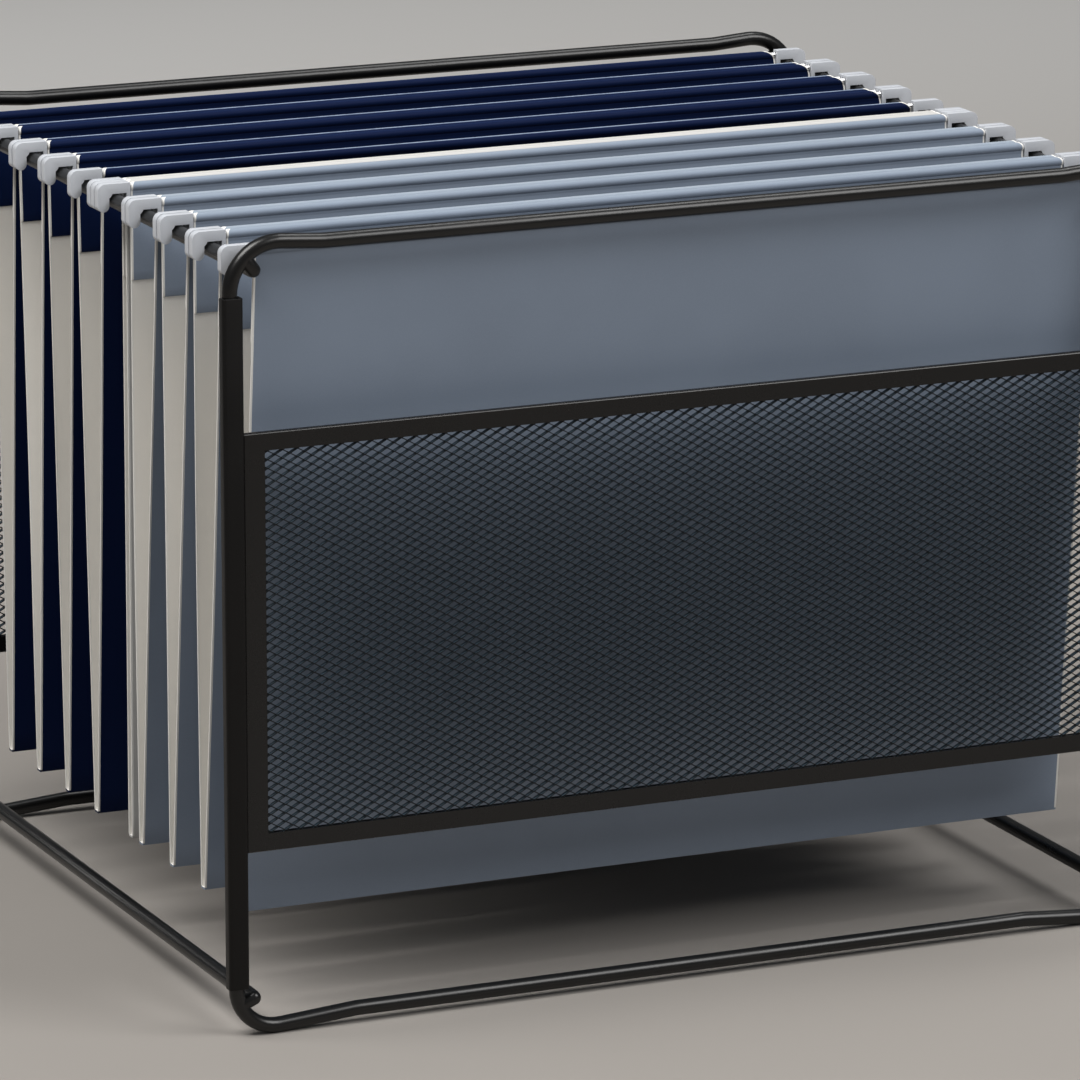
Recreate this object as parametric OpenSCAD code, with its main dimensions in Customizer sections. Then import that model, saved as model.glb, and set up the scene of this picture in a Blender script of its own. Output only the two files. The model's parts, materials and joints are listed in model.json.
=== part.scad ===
// Desktop rack for hanging files: two bent wire loops with mesh panels, four
// side rails welded between them, and nine hanging folders hooked on the top rails.
// X runs across the rack, the front is at -Y and Z is up. The origin lies under the
// middle of the rack, on the surface that its wire feet stand on.

/* [Wire loops] */
// Diameter of the loop wire
wire_d = 5; // [4:0.5:7]
// Distance from the end of a folder to the axis of the post beside it
side_room = 12.75; // [12:0.25:16]
// Height of a loop, bottom bar axis to top bar axis
loop_h = 252.6; // [245:0.1:280]
// Depth of the rack, front loop axis to rear loop axis
rack_d = 268; // [255:1:320]
// Bend radius of a foot, at the wire axis
foot_bend_r = 13.5; // [12:0.5:20]
// Bend radius of a top corner, at the wire axis
crest_bend_r = 16; // [14:0.5:20]
// Bend radius where the wire eases from a corner into a bar
ease_bend_r = 25; // [25:12.5:50]
// Length of the sloped wire from a foot up to the bottom bar
foot_slope_len = 25; // [12.5:12.5:50]
// Length of the sloped wire from a top corner down to the top bar
crest_slope_len = 12.5; // [12.5:12.5:37.5]

/* [Side rails] */
// Diameter of the rail wire
rail_d = 5; // [4:0.5:6]
// How far a rail end passes the axis of the loop it is welded to
rail_over = 0.5; // [0:0.5:6]
// Angle above the horizontal at which a top rail sits inside its corner bend
top_rail_angle = 43; // [35:1:47]
// Angle below the horizontal at which a bottom rail sits inside its foot bend
low_rail_angle = 25; // [10:1:40]

/* [Post sleeves] */
// Sheet thickness of the channel folded round each post
sleeve_t = 0.9; // [0.6:0.1:1.5]
// How far the channel legs pass the post axis
sleeve_leg = 0.6; // [0.4:0.1:2]
// Corner radius of the channel
sleeve_corner_r = 1.2; // [0.6:0.1:2]
// Bare wire left at each end of a post
sleeve_end = 0.5; // [0.5:0.5:10]

/* [Mesh panels] */
// Distance from the top bar axis down to the top edge of a panel
panel_drop = 59.4; // [40:0.1:80]
// Height of a panel
panel_h = 137; // [100:1:160]
// Width of the top and bottom strips
cross_strip_w = 6; // [4:0.5:12]
// Width of the side strips
side_strip_w = 7.5; // [4:0.5:12]
// Thickness of a folded strip
strip_t = 2.4; // [1.8:0.1:4]
// Thickness of the mesh sheet
mesh_t = 0.8; // [0.4:0.1:1.2]
// How far the mesh reaches into the fold of a strip
mesh_grip = 4; // [2:0.5:5]
// Width of a mesh strand
strand_w = 1.6; // [1:0.1:3]
// Openings along one row of the mesh
mesh_columns = 12; // [8:1:12]
// Openings up one column of the mesh
mesh_rows = 11; // [6:1:11]

/* [Hanging folders] */
// Width of a folder
folder_w = 298.5; // [270:0.5:330]
// Distance from the rod axis down to the bottom fold
folder_drop = 223; // [180:1:235]
// Thickness of the card
card_t = 0.6; // [0.4:0.1:1]
// Height of the hem folded over the rod, below the rod axis
hem_h = 31; // [15:1:60]
// Width of the flat bottom fold
fold_w = 3; // [2:0.5:12]
// How far the bottom fold of a navy or cream folder hangs behind the middle of its rods
fold_lag = 2; // [0:0.5:4]
// How far the bottom fold of a blue folder hangs behind the middle of its rods
blue_fold_lag = 10; // [0:0.5:10]
// Diameter of a folder rod
rod_d = 1.8; // [1.4:0.1:2.2]
// Distance from the rear loop to the rearmost rod
rear_room = 13; // [8:0.5:20]
// Distance from the front loop to the bay of the foremost folder
front_room = 7; // [4:0.5:16]
// Distance between neighbouring rods of two folders
rod_gap = 3.8; // [3.5:0.1:6]
// Rail length taken by the closed cream folder and the space behind it
cream_bay = 22; // [14:0.5:30]
// Distance between the two rods of the closed cream folder
cream_open = 3.6; // [3.6:0.1:8]
// Number of navy folders
navy_count = 4; // [2:1:5]
// Number of blue folders
blue_count = 4; // [2:1:5]

/* [Hooks] */
// Thickness of a hook, along the rail
hook_t = 3; // [2.6:0.1:3.4]
// Height of the hook arm above the rail
hook_arm_h = 3.4; // [3:0.1:8]
// Width of the outer tip
hook_tip_w = 4; // [3:0.1:7]
// How far the outer tip reaches below the arm
hook_drop = 5.9; // [5:0.1:12]
// How far the inner lug reaches below the arm
hook_lug_drop = 2.4; // [2:0.1:6]
// Depth of the rod socket in a hook
hook_socket = 3; // [2:0.1:3.5]
// Rounding of the outer top corner
hook_corner_r = 2.6; // [1:0.1:3]

/* [Clearances] */
// Gap left at a weld or between parts that are fixed together
seat_gap = 0.05; // [0.02:0.01:0.1]
// Gap between a hook and the top of its rail
hang_gap = 0.3; // [0.2:0.05:0.5]
// Gap between the sides of a hook's notch and its rail
notch_gap = 0.5; // [0.3:0.1:1]
// Gap between the end of a folder and its hook
hook_gap = 0.4; // [0.2:0.1:1]

/* [Hidden] */
$fn = 48;

ROOT_NODES = [
    "front_loop", "rear_loop",
    "left_top_rail", "right_top_rail", "left_bottom_rail", "right_bottom_rail",
    "front_left_sleeve", "front_right_sleeve", "rear_left_sleeve", "rear_right_sleeve",
    "front_top_strip", "front_bottom_strip", "front_left_strip", "front_right_strip", "front_mesh",
    "rear_top_strip", "rear_bottom_strip", "rear_left_strip", "rear_right_strip", "rear_mesh"
];
navy_names = [for (i = [1:navy_count]) str("navy_folder_", i)];
blue_names = [for (i = [1:blue_count]) str("blue_folder_", i)];
folder_names = concat(navy_names, ["cream_folder"], blue_names);

black_coat = [0.10, 0.10, 0.11];
navy_card = [0.07, 0.10, 0.20];
cream_card = [0.86, 0.85, 0.80];
blue_card = [0.48, 0.55, 0.63];
hook_white = [0.82, 0.82, 0.81];
rod_steel = [0.62, 0.62, 0.64];

wire_r = wire_d / 2;
rail_r = rail_d / 2;
rod_r = rod_d / 2;
loop_w = folder_w + 2 * side_room;
post_x = loop_w / 2;
loop_y = rack_d / 2;

// Slope of the eased wire, as the sine and cosine of one angle
slope_sin = 237 / 3125;
slope_cos = 3116 / 3125;
// The eases are sized in whole steps, so that bends and slopes meet without a rounding error
function in_steps(length) = 12.5 * round(length / 12.5);
ease_r = in_steps(ease_bend_r);
foot_slope = in_steps(foot_slope_len);
crest_slope = in_steps(crest_slope_len);
function ease_rise(slope_len) = 2 * ease_r * (1 - slope_cos) + slope_len * slope_sin;
function ease_run(slope_len) = 2 * ease_r * slope_sin + slope_len * slope_cos;
foot_drop = ease_rise(foot_slope);
crest_rise = ease_rise(crest_slope);

// Heights of the wire axes
foot_z = wire_r;
low_bar_z = foot_z + foot_drop;
top_bar_z = low_bar_z + loop_h;
crest_z = top_bar_z + crest_rise;
post_low_z = foot_z + foot_bend_r;
post_high_z = crest_z - crest_bend_r;

// Rail axes, each resting against the inside of a corner bend
top_rail_in = crest_bend_r - wire_r - rail_r - seat_gap;
top_rail_x = post_x - crest_bend_r + top_rail_in * cos(top_rail_angle);
top_rail_z = post_high_z + top_rail_in * sin(top_rail_angle);
low_rail_in = foot_bend_r - wire_r - rail_r - seat_gap;
low_rail_x = post_x - foot_bend_r + low_rail_in * cos(low_rail_angle);
low_rail_z = post_low_z - low_rail_in * sin(low_rail_angle);
rail_len = rack_d + 2 * rail_over;

// Sleeve section
sleeve_slot = wire_r + seat_gap;
sleeve_half = sleeve_slot + sleeve_t;
sleeve_low_z = post_low_z + sleeve_end;
sleeve_high_z = post_high_z - sleeve_end;

// Panel outline, between the sleeves
panel_x = post_x - sleeve_half - seat_gap;
panel_high_z = top_bar_z - panel_drop;
panel_low_z = panel_high_z - panel_h;
window_x = panel_x - side_strip_w;
window_high_z = panel_high_z - cross_strip_w;
window_low_z = panel_low_z + cross_strip_w;
window_w = 2 * window_x;
window_h = window_high_z - window_low_z;
cell_w = window_w / mesh_columns;
cell_h = window_h / mesh_rows;
cell_angle = atan2(cell_h, cell_w);

// Folder hanging height and the places of its rods along the rails
arm_low_z = top_rail_z + rail_r + hang_gap;
arm_high_z = arm_low_z + hook_arm_h;
rod_z = arm_low_z + hook_arm_h / 2;
fold_z = rod_z - folder_drop;
socket_r = rod_r + seat_gap;
hem_r = socket_r + card_t;
first_rod_y = loop_y - rear_room;
bay = (rack_d - rear_room - front_room - cream_bay) / (navy_count + blue_count);
cream_end_y = first_rod_y - navy_count * bay - cream_bay;
cream_front_y = cream_end_y + rod_gap;
navy_rods = [for (i = [0:navy_count - 1]) let (y = first_rod_y - i * bay) [y, y - bay + rod_gap]];
cream_rods = [cream_front_y + cream_open, cream_front_y];
blue_rods = [for (i = [0:blue_count - 1]) let (y = cream_end_y - i * bay) [y, y - bay + rod_gap]];
hook_in_x = folder_w / 2 + hook_gap;
rod_end_x = hook_in_x + hook_socket - hook_gap;
notch_half = rail_r + notch_gap;

// A straight run of wire along X
module bar_x(x0, x1, z, r) {
    translate([x0, 0, z]) rotate([0, 90, 0]) cylinder(r = r, h = x1 - x0);
}

// A quarter bend of wire in the XZ plane that starts at angle a0, counted from +X towards +Z
module quarter_bend(x, z, bend_r, a0) {
    translate([x, 0, z])
        rotate([90, 0, 0])
            rotate([0, 0, a0])
                rotate_extrude(angle = 90)
                    translate([bend_r, 0])
                        circle(r = wire_r);
}

// The short bend at the start of an ease: from level along +X to the slope, turning up
module ease_bend() {
    reach = 2 * ease_r;
    translate([0, 0, ease_r])
        rotate([90, 0, 0])
            intersection() {
                rotate_extrude() translate([ease_r, 0]) circle(r = wire_r);
                linear_extrude(height = 4 * wire_r, center = true)
                    polygon([[0, 0], [0, -reach], [reach * slope_sin, -reach * slope_cos]]);
            }
}

// Wire that starts level along +X at the origin and slopes up to a level end
module ease(slope_len) {
    ease_bend();
    translate([ease_r * slope_sin, 0, ease_r * (1 - slope_cos)])
        rotate([0, 90 - asin(slope_sin), 0])
            cylinder(r = wire_r, h = slope_len);
    translate([ease_run(slope_len), 0, ease_rise(slope_len)])
        rotate([0, 180, 0])
            ease_bend();
}

// Left post of a loop with its foot, its top corner and the eases into the bars
module loop_side() {
    foot_x = foot_bend_r - post_x;
    crest_x = crest_bend_r - post_x;
    translate([-post_x, 0, post_low_z]) cylinder(r = wire_r, h = post_high_z - post_low_z);
    quarter_bend(foot_x, post_low_z, foot_bend_r, 180);
    translate([foot_x, 0, foot_z]) ease(foot_slope);
    quarter_bend(crest_x, post_high_z, crest_bend_r, 90);
    translate([crest_x, 0, crest_z]) mirror([0, 0, 1]) ease(crest_slope);
}

module wire_loop(y) {
    low_end = post_x - foot_bend_r - ease_run(foot_slope);
    top_end = post_x - crest_bend_r - ease_run(crest_slope);
    color(black_coat)
        translate([0, y, 0]) {
            loop_side();
            mirror([1, 0, 0]) loop_side();
            bar_x(-low_end, low_end, low_bar_z, wire_r);
            bar_x(-top_end, top_end, top_bar_z, wire_r);
        }
}

module rail(x, z) {
    color(black_coat)
        translate([x, rail_len / 2, z])
            rotate([90, 0, 0])
                cylinder(r = rail_r, h = rail_len);
}

// Channel section with its closed side towards -Y and the post axis at the origin
module sleeve_section() {
    depth = sleeve_half + sleeve_leg;
    difference() {
        union() {
            translate([sleeve_corner_r - sleeve_half, -sleeve_half])
                square([2 * (sleeve_half - sleeve_corner_r), depth]);
            translate([-sleeve_half, sleeve_corner_r - sleeve_half])
                square([2 * sleeve_half, depth - sleeve_corner_r]);
            for (side = [-1, 1])
                translate([side * (sleeve_half - sleeve_corner_r), sleeve_corner_r - sleeve_half])
                    circle(r = sleeve_corner_r);
        }
        translate([-sleeve_slot, -sleeve_slot]) square([2 * sleeve_slot, depth]);
    }
}

// side is -1 for left, face is -1 for the front loop and 1 for the rear one
module sleeve(side, face) {
    color(black_coat)
        translate([side * post_x, face * loop_y, sleeve_low_z])
            mirror([0, face > 0 ? 1 : 0, 0])
                linear_extrude(height = sleeve_high_z - sleeve_low_z)
                    sleeve_section();
}

// A flat outline drawn in X and Z, with thickness t, centred on the plane of a loop
module upright_plate(face, t) {
    translate([0, face * loop_y + t / 2, 0])
        rotate([90, 0, 0])
            linear_extrude(height = t)
                children();
}

// The space inside the folded strips that grips the edge of the mesh
module mesh_pocket(face) {
    upright_plate(face, mesh_t + 2 * seat_gap)
        translate([-window_x - mesh_grip, window_low_z - mesh_grip])
            square([window_w + 2 * mesh_grip, window_h + 2 * mesh_grip]);
}

module strip(face, outline) {
    color(black_coat)
        difference() {
            upright_plate(face, strip_t) polygon(outline);
            mesh_pocket(face);
        }
}

module cross_strip(face, edge_z, window_z) {
    strip(face, [[-panel_x, edge_z], [panel_x, edge_z], [window_x, window_z], [-window_x, window_z]]);
}

module side_strip(face, side) {
    strip(face, [
        [side * panel_x, panel_low_z], [side * panel_x, panel_high_z],
        [side * window_x, window_high_z], [side * window_x, window_low_z]
    ]);
}

// One opening of the mesh, drawn smaller than its cell by the width of a strand
module mesh_opening(x, z) {
    half_w = cell_w / 2 - strand_w / 2 / sin(cell_angle);
    half_h = cell_h / 2 - strand_w / 2 / cos(cell_angle);
    translate([x, z])
        polygon([[-half_w, 0], [0, -half_h], [half_w, 0], [0, half_h]]);
}

module mesh_sheet(face) {
    reach = mesh_grip - seat_gap;
    color(black_coat)
        upright_plate(face, mesh_t)
            difference() {
                translate([-window_x - reach, window_low_z - reach])
                    square([window_w + 2 * reach, window_h + 2 * reach]);
                intersection() {
                    translate([-window_x, window_low_z]) square([window_w, window_h]);
                    union() {
                        for (i = [0:mesh_columns - 1], j = [0:mesh_rows - 1])
                            mesh_opening((i + 0.5) * cell_w - window_x, window_low_z + (j + 0.5) * cell_h);
                        for (i = [0:mesh_columns], j = [0:mesh_rows])
                            mesh_opening(i * cell_w - window_x, window_low_z + j * cell_h);
                    }
                }
            }
}

// Unit direction from one point to the next, and the direction to its right
function heading(from, to) = (to - from) / norm(to - from);
function right_of(direction) = [direction[1], -direction[0]];

// The corner at point i of a path, moved to the right of the path by d
function moved_corner(path, i, d) =
    let (before = right_of(heading(path[i - 1], path[i])), after = right_of(heading(path[i], path[i + 1])))
    path[i] + d * (before + after) / (1 + before * after);

// End outline of a folder: down the front flap, across the fold and up the rear flap, with
// a hem of double card on the inner side of each flap
module card_outline(rods, lag) {
    middle = (rods[0] + rods[1]) / 2 + lag;
    half = card_t / 2;
    path = [
        [rods[1], rod_z], [middle - fold_w / 2, fold_z + half],
        [middle + fold_w / 2, fold_z + half], [rods[0], rod_z]
    ];
    down = heading(path[0], path[1]);
    up = heading(path[2], path[3]);
    front_hem = path[0] + hem_h * down;
    rear_hem = path[3] - hem_h * up;
    hem_in = half + card_t;
    polygon([
        path[0] + half * right_of(down), moved_corner(path, 1, half),
        moved_corner(path, 2, half), path[3] + half * right_of(up),
        path[3] - hem_in * right_of(up), rear_hem - hem_in * right_of(up),
        rear_hem - half * right_of(up), moved_corner(path, 2, -half),
        moved_corner(path, 1, -half), front_hem - half * right_of(down),
        front_hem - hem_in * right_of(down), path[0] - hem_in * right_of(down)
    ]);
}

module card(rods, lag, paint) {
    color(paint)
        rotate([90, 0, 90])
            linear_extrude(height = folder_w, center = true)
                difference() {
                    union() {
                        card_outline(rods, lag);
                        for (y = rods) translate([y, rod_z]) circle(r = hem_r);
                    }
                    for (y = rods) translate([y, rod_z]) circle(r = socket_r);
                }
}

module rods(places) {
    color(rod_steel)
        for (y = places)
            translate([-rod_end_x, y, rod_z])
                rotate([0, 90, 0])
                    cylinder(r = rod_r, h = 2 * rod_end_x);
}

// Side view of a hook at the right end of a rod: arm over the rail, tip outside, lug inside
module hook_outline() {
    tip_in = top_rail_x + notch_half;
    tip_out = tip_in + hook_tip_w;
    tip_r = hook_tip_w / 2;
    tip_low = arm_low_z - hook_drop;
    lug_w = top_rail_x - notch_half - hook_in_x;
    corner_x = tip_out - hook_corner_r;
    corner_z = arm_high_z - hook_corner_r;
    translate([hook_in_x, arm_low_z]) square([corner_x - hook_in_x, hook_arm_h]);
    translate([corner_x, corner_z]) circle(r = hook_corner_r);
    translate([tip_in, tip_low + tip_r]) square([hook_tip_w, corner_z - tip_low - tip_r]);
    translate([tip_in + tip_r, tip_low + tip_r]) circle(r = tip_r);
    translate([hook_in_x, arm_low_z - hook_lug_drop]) square([lug_w, hook_lug_drop + hook_arm_h / 2]);
}

module hook(y) {
    difference() {
        translate([0, y + hook_t / 2, 0])
            rotate([90, 0, 0])
                linear_extrude(height = hook_t)
                    hook_outline();
        translate([0, y, rod_z])
            rotate([0, 90, 0])
                cylinder(r = socket_r, h = hook_in_x + hook_socket);
    }
}

module hooks(places) {
    color(hook_white)
        for (y = places) {
            hook(y);
            mirror([1, 0, 0]) hook(y);
        }
}

wire_loop(-loop_y);  // front_loop
wire_loop(loop_y);  // rear_loop
rail(-top_rail_x, top_rail_z);  // left_top_rail
rail(top_rail_x, top_rail_z);  // right_top_rail
rail(-low_rail_x, low_rail_z);  // left_bottom_rail
rail(low_rail_x, low_rail_z);  // right_bottom_rail
sleeve(-1, -1);  // front_left_sleeve
sleeve(1, -1);  // front_right_sleeve
sleeve(-1, 1);  // rear_left_sleeve
sleeve(1, 1);  // rear_right_sleeve
cross_strip(-1, panel_high_z, window_high_z);  // front_top_strip
cross_strip(-1, panel_low_z, window_low_z);  // front_bottom_strip
side_strip(-1, -1);  // front_left_strip
side_strip(-1, 1);  // front_right_strip
mesh_sheet(-1);  // front_mesh
cross_strip(1, panel_high_z, window_high_z);  // rear_top_strip
cross_strip(1, panel_low_z, window_low_z);  // rear_bottom_strip
side_strip(1, -1);  // rear_left_strip
side_strip(1, 1);  // rear_right_strip
mesh_sheet(1);  // rear_mesh
for (i = [0:navy_count - 1]) {
    card(navy_rods[i], fold_lag, navy_card);
    rods(navy_rods[i]);
    hooks(navy_rods[i]);
}
card(cream_rods, fold_lag, cream_card);  // cream_folder_card
rods(cream_rods);  // cream_folder_rods
hooks(cream_rods);  // cream_folder_hooks
for (i = [0:blue_count - 1]) {
    card(blue_rods[i], blue_fold_lag, blue_card);
    rods(blue_rods[i]);
    hooks(blue_rods[i]);
}
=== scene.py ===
# %% [markdown]
# # A desktop rack for hanging files
#
# The rack is two loops of black coated wire with a mesh panel in each, tied together by
# four straight rails. Folders of coloured card hang between the two upper rails on white
# plastic hooks. The solids of every piece come from the CAD frame, in metres, so this
# lesson only gives them their looks: finishes for the wires, softer edges for the folded
# sheet, a fine mesh, and folders that are made of card instead of plain plates.

# %% Load the frame
import json
import math
import random

import bmesh
import bpy
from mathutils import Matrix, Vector

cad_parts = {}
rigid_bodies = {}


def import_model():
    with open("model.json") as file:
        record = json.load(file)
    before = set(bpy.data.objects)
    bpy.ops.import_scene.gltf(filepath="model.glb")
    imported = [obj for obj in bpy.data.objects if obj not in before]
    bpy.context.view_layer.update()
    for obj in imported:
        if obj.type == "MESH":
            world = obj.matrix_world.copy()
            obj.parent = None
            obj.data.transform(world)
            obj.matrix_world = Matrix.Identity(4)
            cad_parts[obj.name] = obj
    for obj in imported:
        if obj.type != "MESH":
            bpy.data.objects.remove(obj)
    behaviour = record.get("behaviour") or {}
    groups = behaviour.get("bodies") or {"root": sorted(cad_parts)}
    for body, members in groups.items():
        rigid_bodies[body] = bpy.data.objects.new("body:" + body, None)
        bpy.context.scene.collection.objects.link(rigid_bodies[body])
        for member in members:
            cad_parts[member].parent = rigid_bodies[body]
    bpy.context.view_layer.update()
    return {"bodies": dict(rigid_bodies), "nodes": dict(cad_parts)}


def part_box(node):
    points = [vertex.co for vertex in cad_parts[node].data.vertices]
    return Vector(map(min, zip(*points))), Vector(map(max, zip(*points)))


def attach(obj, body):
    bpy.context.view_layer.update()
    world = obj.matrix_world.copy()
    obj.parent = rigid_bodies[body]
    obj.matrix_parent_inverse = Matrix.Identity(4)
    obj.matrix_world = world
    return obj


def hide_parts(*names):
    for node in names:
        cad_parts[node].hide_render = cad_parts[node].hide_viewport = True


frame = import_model()
nodes = frame["nodes"]

# %% [markdown]
# A folder is known by its two rods and its bottom fold. Their places are read from the
# frame, so the card that is drawn later follows the solids if the rack is made wider or
# the folders are moved. The list runs from the rear of the rack to the front.

# %% Find the folders
MM = 0.001
folder_names = [body for body in frame["bodies"] if "folder" in body]
folders = {}
for name in folder_names:
    rod_low, rod_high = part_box(name + "_rods")
    card_low, card_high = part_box(name + "_card")
    rod_r = (rod_high.z - rod_low.z) / 2
    corners = [v.co for v in nodes[name + "_card"].data.vertices]
    low_points = [p.y for p in corners if p.z < card_low.z + 0.1 * MM]
    folders[name] = {
        "fold_y": (min(low_points) + max(low_points)) / 2,
        "fold_w": max(low_points) - min(low_points),
        "rear_y": rod_high.y - rod_r,
        "front_y": rod_low.y + rod_r,
        "rod_z": (rod_low.z + rod_high.z) / 2,
        "fold_z": card_low.z,
        "half_x": card_high.x,
        "bead_r": card_high.z - (rod_low.z + rod_high.z) / 2,
    }
rod_z = folders[folder_names[0]]["rod_z"]
print(len(folders), "folders, rods at z", round(rod_z, 4))

# %% [markdown]
# ## Finishes
#
# A finish is a small network of shader nodes. Written as wires and boxes it is hard to
# read, so one class wraps a socket and lets plain arithmetic add the Math nodes: `1 - mask`
# is a node, and so is `0.4 + 0.1 * grain`. Every other kind of node comes from `add`, which
# takes the node's type, its settings, and the values or links of its sockets.

# %% A socket that does arithmetic
class Signal:
    """An output of one material's nodes; with no socket it is the start of the network."""

    def __init__(self, tree, socket=None):
        self.tree = tree
        self.socket = socket

    def fill(self, node, values):
        for key, value in values.items():
            socket = node.inputs[key]
            if isinstance(value, Signal):
                self.tree.links.new(value.socket, socket)
            else:
                socket.default_value = value

    def add(self, kind, settings=None, values=None, out=0):
        node = self.tree.nodes.new(kind)
        for key, value in (settings or {}).items():
            setattr(node, key, value)
        self.fill(node, values or {})
        return Signal(self.tree, node.outputs[out])

    def maths(self, operation, *terms):
        return self.add("ShaderNodeMath", {"operation": operation}, dict(enumerate(terms)))

    def __add__(self, other):
        return self.maths("ADD", self, other)

    def __mul__(self, other):
        return self.maths("MULTIPLY", self, other)

    def __sub__(self, other):
        return self.maths("SUBTRACT", self, other)

    def __rsub__(self, other):
        return self.maths("SUBTRACT", other, self)

    __radd__ = __add__
    __rmul__ = __mul__


# %% [markdown]
# Five helpers cover what the finishes share: noise that lies in the piece's own space, a
# soft step between two values, a mix of two colours, the making of the material, and a
# bump. Pictures of real surfaces would need every piece unwrapped, and noise needs no seams.
# It is counted in cycles per metre, so a scale of 1000 gives grains of about 1 mm.

# %% Helpers for finishes
def grain(start, where, scale, detail=3.0, rough=0.55):
    values = {"Vector": where, "Scale": scale, "Detail": detail, "Roughness": rough}
    return start.add("ShaderNodeTexNoise", values=values)


def soft_step(signal, low, high):
    values = {"Value": signal, "From Min": low, "From Max": high}
    return signal.add("ShaderNodeMapRange", {"interpolation_type": "SMOOTHSTEP"}, values)


def mix_colour(factor, first, second):
    first, second = [c if isinstance(c, Signal) else (*c, 1.0) for c in (first, second)]
    values = {0: factor, 6: first, 7: second}
    return factor.add("ShaderNodeMix", {"data_type": "RGBA"}, values, out=2)


def new_finish(name):
    material = bpy.data.materials.new(name)
    material.use_nodes = True
    start = Signal(material.node_tree)
    shader = material.node_tree.nodes["Principled BSDF"]
    where = start.add("ShaderNodeTexCoord", out="Object")
    return material, start, shader, where


def bump(start, height, strength, distance):
    values = {"Height": height, "Strength": strength, "Distance": distance}
    return start.add("ShaderNodeBump", values=values)


# %% [markdown]
# ### Black powder coat
#
# Powder is sprayed on dry and melted in an oven. It flows into a skin that is almost
# smooth, with a fine orange peel that breaks up reflections, and with slow changes of
# gloss. The round wires shine along a line; the flat sheet looks more matt, because the
# light it mirrors comes from one direction only. Faces that look up are painted a lighter,
# bluish tone: painted light that stands in for light from above. It shows most on the many
# small ledges of the mesh: seen from one side, the strands that lean away show their
# lighter ledges, and those that lean the other way stay thin dark lines. Fine grey specks
# of dust are mixed in everywhere. The peel is too fine to model, so a bump draws it. The
# painted light follows the direction in which a face looks, because no map could be
# painted for so many strands.

# %% Powder coat
# The first colour is painted light for faces that look up; the second is grey specks of dust.
UPWARD_PAINTED_LIGHT = (0.056, 0.086, 0.112)
SPECK = (0.09, 0.088, 0.085)


def powder_coat(name, shade, rough, peel_depth, shine, top_light_amount):
    material, start, shader, where = new_finish(name)
    shader.inputs["Specular IOR Level"].default_value = shine
    peel = grain(start, where, 1100.0)
    drift = grain(start, where, 28.0, detail=2.0)
    dust = soft_step(grain(start, where, 2600.0, detail=1.0), 0.62, 0.78)
    tone = mix_colour(drift, [0.75 * c for c in shade], [1.3 * c for c in shade])
    # Painted highlight: the more a face looks up, the more it turns to the lighter bluish tone,
    # in place of light from above.
    facing = start.add("ShaderNodeNewGeometry", out="Normal")
    upward = start.add("ShaderNodeSeparateXYZ", values={0: facing}, out="Z")
    painted_top_light = soft_step(upward, 0.3, 0.9)
    tone = mix_colour(painted_top_light * top_light_amount, tone, UPWARD_PAINTED_LIGHT)
    start.fill(shader, {
        "Base Color": mix_colour(dust * 0.06, tone, SPECK),
        "Roughness": rough + 0.12 * (drift - 0.5) + 0.06 * (peel - 0.5),
        "Normal": bump(start, peel, peel_depth, 0.0002),
    })
    return material


# The last number of each coat is how much painted light its upward faces get; the mesh gets it in
# full.
wire_coat = powder_coat("wire_coat", (0.0042, 0.0040, 0.0039), 0.30, 0.003, 0.45, 0.02)
sleeve_coat = powder_coat("sleeve_coat", (0.0046, 0.0042, 0.0040), 0.44, 0.05, 0.2, 0.025)
strip_coat = powder_coat("strip_coat", (0.0040, 0.0037, 0.0037), 0.27, 0.003, 0.4, 0.015)
net_coat = powder_coat("net_coat", (0.0035, 0.0037, 0.0043), 0.5, 0.04, 0.2, 1.0)
print("coats:", wire_coat.name, sleeve_coat.name, strip_coat.name, net_coat.name)

# %% [markdown]
# ### Card
#
# The folders are of coloured card with a smooth coating: navy or pale blue outside, the
# plain beige of the board inside, and a white core that shows wherever the board is cut.
# Along the crest of each bead a lighter line is painted into the colour: a painted
# highlight where light from above would catch the bead, broken a little by noise and
# fainter on the rear flap. Just below the rod the card is pressed together into a crease,
# and the colour is painted darker along it: painted shade under the bead. Highlight and
# shade are placed by height in the folder's own space, so they stay where they are when the
# folder is lifted out. A scan of card would show its repeats on nine folders, so noise of
# two sizes gives the fibre and the clouds of the coating.

# %% Card finishes
CREASE = 2.0 * MM


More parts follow.
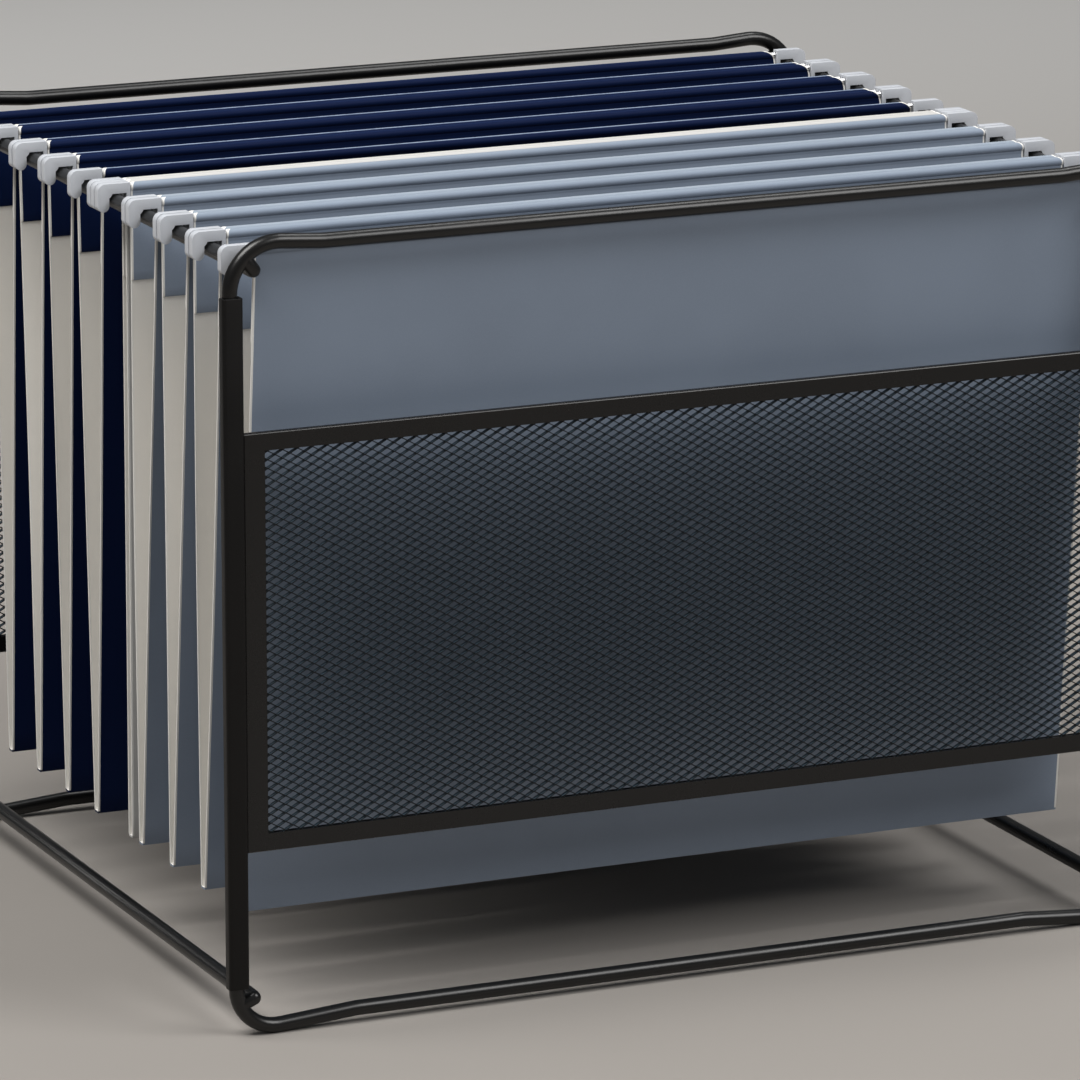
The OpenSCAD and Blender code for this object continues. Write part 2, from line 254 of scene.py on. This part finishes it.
def card_face(name, colour, crest_highlight, highlight_depth, shine, crest_z):
    material, start, shader, where = new_finish(name)
    shader.inputs["Specular IOR Level"].default_value = shine
    fibre = grain(start, where, 2300.0, detail=4.0)
    cloud = grain(start, where, 22.0, detail=2.0)
    height = start.add("ShaderNodeSeparateXYZ", values={0: where}, out="Z")
    # Painted highlight: a lighter line along the top of the bead, where light from above would
    # catch it, broken a little by noise.
    highlight_noise = grain(start, where, 240.0, detail=2.0)
    highlight_breaks = 0.7 + 0.3 * soft_step(highlight_noise, 0.25, 0.6)
    painted_highlight = soft_step(height, crest_z - highlight_depth, crest_z) * highlight_breaks
    tone = mix_colour(cloud, [0.9 * c for c in colour], [1.1 * c for c in colour])
    tone = mix_colour(soft_step(fibre, 0.35, 0.75) * 0.3, tone, [1.12 * c for c in colour])
    # Painted shade: a darker line just below the rod, where the bead shades the crease.
    groove_z = rod_z - CREASE
    into = soft_step(height, groove_z - 0.4 * MM, groove_z)
    past = soft_step(height, groove_z, groove_z + 0.6 * MM)
    painted_crease_shade = into * (1 - past)
    tone = mix_colour(painted_crease_shade * 0.5, tone, [0.6 * c for c in colour])
    start.fill(shader, {
        "Base Color": mix_colour(painted_highlight * 0.8, tone, crest_highlight),
        "Roughness": 0.48 + 0.12 * (cloud - 0.5) + 0.10 * (fibre - 0.5),
        "Normal": bump(start, fibre, 0.10, 0.00012),
    })
    return material


def board(name, light, dark, rough):
    material, start, shader, where = new_finish(name)
    fibre = grain(start, where, 1700.0, detail=5.0, rough=0.65)
    cloud = grain(start, where, 40.0, detail=3.0)
    start.fill(shader, {
        "Base Color": mix_colour(0.55 * fibre + 0.45 * cloud, dark, light),
        "Roughness": rough + 0.1 * (fibre - 0.5),
        "Normal": bump(start, fibre, 0.14, 0.00015),
    })
    return material


bead_top = rod_z + folders[folder_names[0]]["bead_r"]
NAVY = (0.0045, 0.0105, 0.042)
CREAM = (0.49, 0.485, 0.475)
BLUE = (0.235, 0.282, 0.358)
faces = {
    # The second colour of each card is its painted highlight on the bead, dimmer on the rear
    # flap.
    "navy": (card_face("navy_card", NAVY, (0.34, 0.41, 0.54), 0.22 * MM, 0.04, bead_top),
             card_face("navy_rear_card", NAVY, (0.008, 0.018, 0.060), 0.3 * MM, 0.04, bead_top)),
    "cream": (card_face("cream_card", CREAM, (0.53, 0.525, 0.51), 0.8 * MM, 0.1, bead_top),
              card_face("cream_rear_card", CREAM, (0.52, 0.515, 0.50), 0.8 * MM, 0.1, bead_top)),
    "blue": (card_face("blue_card", BLUE, (0.31, 0.355, 0.405), 0.9 * MM, 0.1, bead_top),
             card_face("blue_rear_card", BLUE, (0.25, 0.295, 0.355), 0.9 * MM, 0.1, bead_top)),
}
inner_board = board("inner_board", (0.86, 0.84, 0.80), (0.80, 0.78, 0.735), 0.7)
cut_edge = board("cut_edge", (0.86, 0.85, 0.82), (0.76, 0.75, 0.72), 0.75)
print("card:", [m.name for pair in faces.values() for m in pair])
print("board:", inner_board.name, cut_edge.name)

# %% [markdown]
# ### Plastic and steel
#
# The hooks are moulded in white plastic: even in colour, with a faint bloom and soft
# reflections. The rods are drawn steel wire, so their marks run along the rod; the noise
# is stretched in X to draw them. An even roughness would look like glass or chrome, so a
# little noise goes into the roughness of both.

# %% Plastic and steel
def moulded_plastic(name, colour):
    material, start, shader, where = new_finish(name)
    skin = grain(start, where, 900.0, detail=2.0)
    bloom = grain(start, where, 90.0, detail=2.0)
    start.fill(shader, {
        "Base Color": mix_colour(bloom, [0.94 * c for c in colour], colour),
        "Roughness": 0.36 + 0.14 * (bloom - 0.5) + 0.06 * (skin - 0.5),
        "Normal": bump(start, skin, 0.06, 0.0001),
    })
    return material


def drawn_steel(name):
    material, start, shader, where = new_finish(name)
    stretch = start.add("ShaderNodeVectorMath", {"operation": "MULTIPLY"},
                        {0: where, 1: (0.02, 1.0, 1.0)})
    marks = grain(start, stretch, 5000.0, detail=2.0)
    start.fill(shader, {
        "Base Color": mix_colour(marks, (0.50, 0.50, 0.51), (0.64, 0.64, 0.65)),
        "Metallic": 1.0,
        "Roughness": 0.28 + 0.2 * (marks - 0.5),
        "Normal": bump(start, marks, 0.08, 0.0001),
    })
    return material


hook_white = moulded_plastic("hook_white", (0.55, 0.575, 0.62))
rod_steel = drawn_steel("rod_steel")
print("plastic and steel:", hook_white.name, rod_steel.name)

# %% [markdown]
# ## Wires
#
# The loops are round wire, and the solids already have the right bends. A curve with a
# round bevel would only give the same shape again, so they stay as they are and get the
# coat. The rods in the hems stay too, in bare steel.

# %% Dress the wires
def smooth(mesh, angle):
    for polygon in mesh.polygons:
        polygon.use_smooth = True
    mesh.set_sharp_from_angle(angle=math.radians(angle))


def dress(piece, *materials):
    if piece.data.materials:
        piece.data.materials.clear()
    for material in materials:
        piece.data.materials.append(material)


loops = [n for n in nodes if n.endswith("_loop")]
for name in loops:
    dress(nodes[name], wire_coat)
for name in folder_names:
    dress(nodes[name + "_rods"], rod_steel)
print("loops:", sorted(loops))

# %% [markdown]
# ## Welded rails
#
# The rails are cut from the same wire and welded to the inside of the corner bends. A weld
# leaves a small lump of metal in the groove between two wires, and the coat rounds off the
# cut end. A bump can't change an outline, so both are modelled. A rail is drawn as rings
# along its axis, closed by two caps. The nearest point of the loop tells on which side the
# weld lies. A ball, stretched from the end of the rail into the loop, is joined to the rail
# there by a Boolean, so the two wires look melted together.

# %% Rails with welds
SIDES = 40
END_ROUND = 1.2 * MM
WELD_R = 2.4 * MM
WELD_SINK = 1.4 * MM


def ring_tube(title, centre, rings):
    net = bmesh.new()
    turns = [2 * math.pi * k / SIDES for k in range(SIDES)]
    hoops = []
    for y, r in rings:
        spots = [(centre.x + r * math.cos(a), y, centre.z + r * math.sin(a)) for a in turns]
        hoops.append([net.verts.new(spot) for spot in spots])
    for a, b in zip(hoops, hoops[1:]):
        for k in range(SIDES):
            net.faces.new((a[k], b[k], b[(k + 1) % SIDES], a[(k + 1) % SIDES]))
    net.faces.new(hoops[0])
    net.faces.new(hoops[-1])
    bmesh.ops.recalc_face_normals(net, faces=net.faces)
    mesh = bpy.data.meshes.new(title)
    net.to_mesh(mesh)
    net.free()
    piece = bpy.data.objects.new(title, mesh)
    bpy.context.scene.collection.objects.link(piece)
    return piece


def weld_lump(title, centre, loop):
    near = [v.co for v in nodes[loop].data.vertices]
    spot = min(near, key=lambda p: math.hypot(p.x - centre.x, p.z - centre.z))
    way = Vector((spot.x - centre.x, 0.0, spot.z - centre.z))
    stretch = way.normalized() * (way.length + WELD_SINK)
    low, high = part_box(loop)
    middle = Vector((centre.x, (low.y + high.y) / 2, centre.z))
    net = bmesh.new()
    bmesh.ops.create_uvsphere(net, u_segments=32, v_segments=20, radius=WELD_R)
    for v in net.verts:
        v.co = middle + v.co + (stretch if v.co.dot(way) > 0 else Vector())
    mesh = bpy.data.meshes.new(title)
    net.to_mesh(mesh)
    net.free()
    lump = bpy.data.objects.new(title, mesh)
    bpy.context.scene.collection.objects.link(lump)
    return lump


def welded_rail(node):
    low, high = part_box(node)
    centre, radius = (low + high) / 2, (high.x - low.x) / 2
    arcs = [math.radians(a) for a in (0, 30, 60, 90)]
    nose = [(END_ROUND * (1 - math.sin(a)), radius - END_ROUND * (1 - math.cos(a))) for a in arcs]
    rings = [(low.y + step, r) for step, r in nose[::-1]]
    rings += [(high.y - step, r) for step, r in nose]
    piece = ring_tube(node + "_welded", centre, rings)
    lumps = [weld_lump(node + "_" + loop, centre, loop) for loop in loops]
    for lump in lumps:
        join = piece.modifiers.new("weld", "BOOLEAN")
        join.operation = "UNION"
        join.object = lump
    joined = piece.evaluated_get(bpy.context.evaluated_depsgraph_get())
    mesh = bpy.data.meshes.new_from_object(joined)
    piece.modifiers.clear()
    piece.data = mesh
    for lump in lumps:
        bpy.data.objects.remove(lump)
    smooth(mesh, 60)
    dress(piece, wire_coat)
    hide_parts(node)
    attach(piece, "rack")
    return piece


for node in [n for n in nodes if n.endswith("_rail")]:
    piece = welded_rail(node)
    print(piece.name, len(piece.data.polygons), "faces")

# %% [markdown]
# ## Folded sheet
#
# The post sleeves and the strips round the mesh are bent from thin sheet, and a bend is
# never a knife edge. A bevel on a copy of the solid gives each fold a small radius that
# catches the light as a thin line. The copy is first cleaned of the triangles that cut its
# flat faces, because a bevel needs whole faces to work on. A strip is folded along the
# outer edge of the panel only; its inner edges and its mitres are cut, so they stay sharp.
# A Bevel modifier would find its edges by their angle alone, so they are picked in code.

# %% Copies with soft edges
FOLD_ANGLE = 24
SLEEVE_ROUND = 0.35 * MM
STRIP_ROUND = 0.8 * MM


def softened(node, title, width, segments, material, wanted=lambda edge: True):
    net = bmesh.new()
    net.from_mesh(nodes[node].data)
    bmesh.ops.remove_doubles(net, verts=net.verts, dist=0.002 * MM)
    bmesh.ops.dissolve_limit(net, angle_limit=math.radians(0.5), verts=net.verts, edges=net.edges)
    shared = [e for e in net.edges if len(e.link_faces) == 2]
    sharp = [e for e in shared if e.calc_face_angle() > math.radians(FOLD_ANGLE)]
    bmesh.ops.bevel(net, geom=[e for e in sharp if wanted(e)], offset=width, segments=segments,
                    profile=0.5, affect="EDGES", clamp_overlap=True)
    mesh = bpy.data.meshes.new(title)
    net.to_mesh(mesh)
    net.free()
    smooth(mesh, 32)
    piece = bpy.data.objects.new(title, mesh)
    bpy.context.scene.collection.objects.link(piece)
    dress(piece, material)
    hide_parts(node)
    return piece


OUTER_SIDE = {"top": (1, 2), "bottom": (0, 2), "left": (0, 0), "right": (1, 0)}


def on_fold(node):
    end, axis = OUTER_SIDE[node.split("_")[1]]
    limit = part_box(node)[end][axis]
    return lambda edge: all(abs(v.co[axis] - limit) < 0.02 * MM for v in edge.verts)


sheets = [n for n in nodes if n.endswith("_sleeve") or n.endswith("_strip")]
for node in sheets:
    if node.endswith("_sleeve"):
        piece = softened(node, node + "_folded", SLEEVE_ROUND, 2, sleeve_coat)
    else:
        piece = softened(node, node + "_folded", STRIP_ROUND, 4, strip_coat, on_fold(node))
    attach(piece, "rack")
print(len(sheets), "folded sheets")

# %% [markdown]
# ## Mesh
#
# The panels are filled with expanded metal: a sheet that is slit and pulled until every
# slit opens into a diamond about 5 mm wide and 3 mm high. Pulling also turns the strands on
# edge, so they are thin from the front and much deeper than the sheet. Each diamond is drawn
# as four quads between its corners and a smaller diamond inside it. Neighbours share corners,
# so the net is one connected sheet, and a Solidify modifier gives it its depth. A plane with
# a see-through pattern would be lighter, but it has no depth, and the depth is what shows.

# %% Weave the mesh
DIAMOND_W, DIAMOND_H = 5.1 * MM, 2.85 * MM
STRAND, NET_DEPTH = 0.32 * MM, 1.5 * MM


def net_panel(node, title, cell_w, cell_h, strand, depth):
    low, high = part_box(node)
    columns = round((high.x - low.x) / cell_w)
    rows = round((high.z - low.z) / cell_h)
    step_x = (high.x - low.x) / columns / 2
    step_z = (high.z - low.z) / rows / 2
    slant = math.hypot(step_x, step_z)
    inset_x = strand / 2 * slant / step_z
    inset_z = strand / 2 * slant / step_x
    points, quads, corner_of = [], [], {}

    def corner(i, j):
        if (i, j) not in corner_of:
            corner_of[i, j] = len(points)
            points.append((low.x + i * step_x, 0.0, low.z + j * step_z))
        return corner_of[i, j]

    for j in range(1, 2 * rows):
        for i in range(1 + (j + 1) % 2, 2 * columns, 2):
            outer = [corner(i - 1, j), corner(i, j - 1), corner(i + 1, j), corner(i, j + 1)]
            x, z = low.x + i * step_x, low.z + j * step_z
            inner = list(range(len(points), len(points) + 4))
            points += [(x - step_x + inset_x, 0, z), (x, 0, z - step_z + inset_z),
                       (x + step_x - inset_x, 0, z), (x, 0, z + step_z - inset_z)]
            for k in range(4):
                quads.append((outer[k], outer[(k + 1) % 4], inner[(k + 1) % 4], inner[k]))
    mesh = bpy.data.meshes.new(title)
    mesh.from_pydata(points, [], quads)
    piece = bpy.data.objects.new(title, mesh)
    piece.location.y = (low.y + high.y) / 2
    bpy.context.scene.collection.objects.link(piece)
    thicken = piece.modifiers.new("depth", "SOLIDIFY")
    thicken.thickness = depth
    thicken.offset = 0.0
    dress(piece, net_coat)
    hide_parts(node)
    print(title, "diamonds:", len(quads) // 4)
    return piece


for node in ("front_mesh", "rear_mesh"):
    piece = net_panel(node, node + "_net", DIAMOND_W, DIAMOND_H, STRAND, NET_DEPTH)
    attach(piece, "rack")

# %% [markdown]
# ## Folders
#
# A hanging folder is one sheet of card. Its bottom is creased into a narrow flat fold, each
# flap rises to a rod, wraps over it in a bead and is glued down inside as a hem. The card
# is drawn as rows of points: a row has a distance below the rod, how far the outside and
# the inside lie from the middle of the flap, and how far the row reaches to each end. Rows
# near the top reach less far, which rounds the corners. A slow bow, nil at the rod and at
# the fold, takes away the look of a machined plate. A cloth simulation could hang the card,
# but rows keep every fold where the solid has it.

# %% Rows of a flap
CARD = 0.6 * MM
HEM = 31.0 * MM
MARGIN = 0.6 * MM


def flap_rows(length, bead_r):
    half = CARD / 2
    rows = [(length + half, length - half, half - 0.3 * MM, half)]
    rows.append((length - 0.5 * MM, length - half - 0.2 * MM, half, half))
    steps = [0.97, 0.9, 0.8, 0.7, 0.6, 0.5, 0.4, 0.3, 0.22]
    rows += [(length * t, length * t, half, half) for t in steps if length * t > HEM + 2 * MM]
    rows += [(HEM + 0.3 * MM, HEM + 0.3 * MM, half, half), (HEM, HEM, half, half + 0.8 * CARD)]
    rows.append((HEM - 0.3 * MM, HEM - 0.3 * MM, half, half + CARD))
    rows += [(s * MM, s * MM, half, half + CARD) for s in (28.0, 20.0, 13.0, 8.0, 4.6, 2.9)]
    rows.append((CREASE, CREASE, half + 0.14 * MM, half + CARD))
    for turn in (-54, -36, -18, 0, 18, 36, 54, 72, 90):
        a = math.radians(turn)
        rise, side = bead_r * math.sin(a), bead_r * math.cos(a)
        rows.append((-rise, -rise, side, side))
    return rows


def reach(half_x, depth, corner_r):
    if depth >= corner_r:
        return half_x
    return half_x - corner_r + math.sqrt(max(0.0, corner_r ** 2 - (corner_r - depth) ** 2))


first = folders[folder_names[0]]
rows = flap_rows(first["rod_z"] - first["fold_z"], first["bead_r"])
print("rows in a flap:", len(rows))

# %% [markdown]
# The two flaps and the fold between them become one closed mesh. Materials are set face by
# face: the coloured faces outside and over the hems, the plain board inside, and the white
# core on the cut ends. The coating stops a little short of the cut, so each end of a flap
# shows as a thin white line. The line ends at the fold, where the coating wraps round the
# crease. The right-hand corners are rounder on the navy folders.

# %% Fold the cards
COLUMNS = 28
FRONT, BOARD, CUT, REAR = range(4)


def card_piece(name, colour, left_r, right_r, bow):
    spec = folders[name]
    dice = random.Random(name)
    points, quads, kinds = [], [], []
    sides = {}
    for side, rod_y in ((-1, spec["front_y"]), (1, spec["rear_y"])):
        fold_y = spec["fold_y"] + side * (spec["fold_w"] - CARD) / 2
        rod = Vector((rod_y, spec["rod_z"]))
        fold = Vector((fold_y, spec["fold_z"] + CARD / 2))
        length = (fold - rod).length
        down = (fold - rod) / length
        out = Vector((-down.y, down.x)) * (1 if -down.y * side > 0 else -1)
        sway = [
            (dice.uniform(0.5, 1.0) * bow, dice.uniform(0.6, 1.3), dice.uniform(0, 6.28))
            for _ in range(2)
        ]
        grid = []
        for s_out, s_in, o_out, o_in in flap_rows(length, spec["bead_r"]):
            for skin, s, offset in ((0, s_out, o_out), (1, s_in, -o_in)):
                depth = s + spec["bead_r"]
                left = reach(spec["half_x"], depth, left_r)
                right = reach(spec["half_x"], depth, right_r)
                line = []
                for c in range(COLUMNS + 1):
                    u = (c - 1) / (COLUMNS - 2)
                    x = -left + MARGIN + (left + right - 2 * MARGIN) * u
                    x = min(max(x, -left), right)
                    belly = math.sin(math.pi * min(1.0, max(0.0, s / length))) ** 2
                    waves = [a * math.sin(w * math.pi * (2 * u - 1) + p) for a, w, p in sway]
                    drift = belly * sum(waves)
                    at = rod + down * s + out * (offset + drift)
                    line.append(len(points))
                    points.append((x, at.x, at.y))
                grid.append((skin, line))
        sides[side] = ([l for k, l in grid if k == 0], [l for k, l in grid if k == 1])

    def strip(a, b, kind, flip, rim=CUT):
        for c in range(COLUMNS):
            quad = (a[c], a[c + 1], b[c + 1], b[c])
            quads.append(quad[::-1] if flip else quad)
            kinds.append(kind if 0 < c < COLUMNS - 1 else rim)

    def cap(outer_a, outer_b, inner_b, inner_a, flip, rim=CUT):
        for c in (0, COLUMNS):
            quad = (outer_a[c], outer_b[c], inner_b[c], inner_a[c])
            quads.append(quad[::-1] if (c == 0) == flip else quad)
            kinds.append(rim)

    for side, (outer, inner) in sides.items():
        flip = side > 0
        face = REAR if side > 0 else FRONT
        for k in range(len(outer) - 1):
            rim = CUT if k else face
            strip(outer[k], outer[k + 1], face, flip, rim)
            hem = points[inner[k][0]][2] > spec["rod_z"] - HEM - 0.5 * MM
            strip(inner[k], inner[k + 1], face if hem else BOARD, not flip)
            cap(outer[k], outer[k + 1], inner[k + 1], inner[k], flip, rim)
    front, rear = sides[-1], sides[1]
    strip(rear[0][0], front[0][0], FRONT, False, FRONT)
    strip(rear[1][0], front[1][0], BOARD, True)
    cap(rear[0][0], front[0][0], front[1][0], rear[1][0], False, FRONT)
    mesh = bpy.data.meshes.new(name + "_folded_card")
    mesh.from_pydata(points, [], quads)
    mesh.polygons.foreach_set("material_index", kinds)
    net = bmesh.new()
    net.from_mesh(mesh)
    bmesh.ops.remove_doubles(net, verts=net.verts, dist=0.0005 * MM)
    bmesh.ops.recalc_face_normals(net, faces=net.faces)
    net.to_mesh(mesh)
    net.free()
    smooth(mesh, 35)
    piece = bpy.data.objects.new(mesh.name, mesh)
    bpy.context.scene.collection.objects.link(piece)
    front_face, rear_face = faces[colour]
    dress(piece, front_face, inner_board, cut_edge, rear_face)
    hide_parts(name + "_card")
    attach(piece, name)
    colour + "_card"
    return piece


LEFT_CORNER = 1.2 * MM
for name in folder_names:
    colour = name.split("_")[0]
    right_corner = 4.5 * MM if colour == "navy" else 1.5 * MM
    bow = 0.15 * MM if colour == "cream" else 0.7 * MM
    piece = card_piece(name, colour, LEFT_CORNER, right_corner, bow)
    print(piece.name, len(piece.data.polygons), "faces")

# %% [markdown]
# ## Hooks
#
# The hooks are moulded, so every edge has a generous radius. They are made as the folded
# sheets are: a copy of the solid, with a bevel. A mould leaves no edge sharp, so here the
# bevel takes them all.

# %% Round the hooks
HOOK_ROUND = 0.55 * MM
for name in folder_names:
    piece = softened(name + "_hooks", name + "_moulded_hooks", HOOK_ROUND, 3, hook_white)
    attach(piece, name)
print("hooks rounded on", len(folder_names), "folders")

# %% [markdown]
# ## Floor, light and camera
#
# The rack stands on a pale sheet that curves up far behind it, so there is no line between
# floor and wall. A flat floor alone would show its edge against the sky. The sheet is wide
# enough for a camera that looks from behind to stand over it. Its colour is painted lighter
# behind the rack: painted light that stands in for a lamp on the background.

# %% Floor and backdrop
REACH, CURVE_R, WALL_TOP = 9.0, 1.2, 6.0
FLOOR_DARK, FLOOR_LIGHT = (0.272, 0.252, 0.233), (0.296, 0.276, 0.256)
FAR_PAINTED_LIGHT = (0.65, 0.64, 0.625)


def backdrop():
    profile = [(-REACH, 0.0), (REACH, 0.0)]
    for turn in range(6, 91, 6):
        a = math.radians(turn)
        profile.append((REACH + CURVE_R * math.sin(a), CURVE_R - CURVE_R * math.cos(a)))
    profile.append((REACH + CURVE_R, WALL_TOP))
    points = [(x, y, z) for y, z in profile for x in (-REACH, REACH)]
    quads = [(2 * k, 2 * k + 1, 2 * k + 3, 2 * k + 2) for k in range(len(profile) - 1)]
    mesh = bpy.data.meshes.new("backdrop")
    mesh.from_pydata(points, [], quads)
    smooth(mesh, 40)
    piece = bpy.data.objects.new("backdrop", mesh)
    bpy.context.scene.collection.objects.link(piece)
    material, start, shader, where = new_finish("pale_sheet")
    cloud = grain(start, where, 3.0, detail=2.0)
    away = start.add("ShaderNodeSeparateXYZ", values={0: where}, out="Y")
    floor = mix_colour(cloud, FLOOR_DARK, FLOOR_LIGHT)
    start.fill(shader, {
        # Painted light: the sheet turns to the lighter far tone behind the rack, in place of a
        # lamp.
        "Base Color": mix_colour(soft_step(away, 0.4, 1.7), floor, FAR_PAINTED_LIGHT),
        "Roughness": 0.85,
    })
    dress(piece, material)
    return piece


print("stage:", backdrop().name)


# %% [markdown]
# A wide lamp above the left fills the open folders and casts a soft shadow under the rack,
# and a second one at the right front lights the front flap. Two small lamps only draw lines:
# one on edges and bars that run across, one on the side rails. Points of light would give
# hard shadows, so all four are disks, and a faint sky keeps the shadows from going black.

# %% Lamps
def soft_lamp(name, place, aim, size, watts, colour):
    lamp = bpy.data.lights.new(name, "AREA")
    lamp.shape = "DISK"
    lamp.size = size
    lamp.energy = watts
    lamp.color = colour
    holder = bpy.data.objects.new(name, lamp)
    holder.location = place
    holder.rotation_euler = (Vector(aim) - Vector(place)).to_track_quat("-Z", "Y").to_euler()
    holder.visible_camera = False
    bpy.context.scene.collection.objects.link(holder)


soft_lamp("top_lamp", (-1.0, -0.3, 2.0), (0, 0, 0.15), 1.4, 50.0, (1.0, 0.985, 0.96))
soft_lamp("front_lamp", (1.84, -2.35, 2.66), (0, 0, 0.15), 2.1, 85.0, (1.0, 0.99, 0.98))
soft_lamp("edge_lamp", (0.91, 0.46, 2.21), (0, 0, 0.2), 0.8, 9.0, (1.0, 0.99, 0.97))
soft_lamp("rail_lamp", (-0.9, 2.6, 1.2), (0, 0, 0.1), 0.4, 1.4, (1.0, 0.97, 0.94))
world = bpy.data.worlds.new("soft_room")
world.use_nodes = True
sky = world.node_tree.nodes["Background"]
sky.inputs["Color"].default_value = (0.93, 0.96, 1.0, 1.0)
sky.inputs["Strength"].default_value = 0.13
bpy.context.scene.world = world
bpy.context.scene.view_settings.view_transform = "Standard"
print("lamps and world set")

# %% [markdown]
# The camera repeats the view of the photograph, from the left and a little above, about
# 2.5 m away. Its place and its lens were fitted to the wires, the rails and the edges of the
# panel: set by eye, the long lines of the rack would run apart towards the rear.

# %% Camera
camera = bpy.data.objects.new("camera", bpy.data.cameras.new("camera"))
camera.data.sensor_width = 36.0
camera.data.sensor_fit = "HORIZONTAL"
camera.data.lens = 244.65
camera.data.clip_end = 60.0
camera.location = (-0.9826, -2.2201, 0.7183)
turn, tilt = math.radians(23.95), math.radians(13.908)
gaze = Vector((math.sin(turn) * math.cos(tilt), math.cos(turn) * math.cos(tilt), -math.sin(tilt)))
camera.rotation_euler = gaze.to_track_quat("-Z", "Y").to_euler()
bpy.context.scene.collection.objects.link(camera)
bpy.context.scene.camera = camera
print("camera at", [round(v, 3) for v in camera.location])
